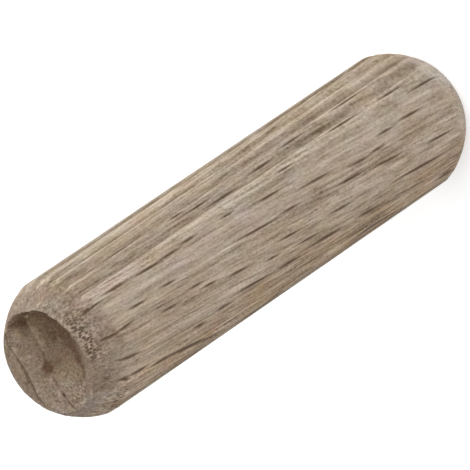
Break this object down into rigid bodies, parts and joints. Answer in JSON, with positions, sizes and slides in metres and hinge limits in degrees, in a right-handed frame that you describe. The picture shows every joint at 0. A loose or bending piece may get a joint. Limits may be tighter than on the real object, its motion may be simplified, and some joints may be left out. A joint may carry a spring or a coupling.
{
  "type": "dowel pin",
  "caption": "Fluted wooden dowel pin with chamfered ends, one end sawn flat and the other torn hollow, pressed with glue into drilled holes to join two boards.",
  "frame": {"origin": "middle of the flat sawn end, which the pin stands on", "axes": "+Z along the pin, from the sawn end up to the torn end; -Y is the side with most ray flecks"},
  "size_m": [0.01, 0.01, 0.04],
  "materials": {
    "beech": "bare unfinished beech, matt, with brown ray flecks and rough end grain"
  },
  "bodies": {
    "root": {"dowel_pin": "beech"}
  },
  "joints": []
}
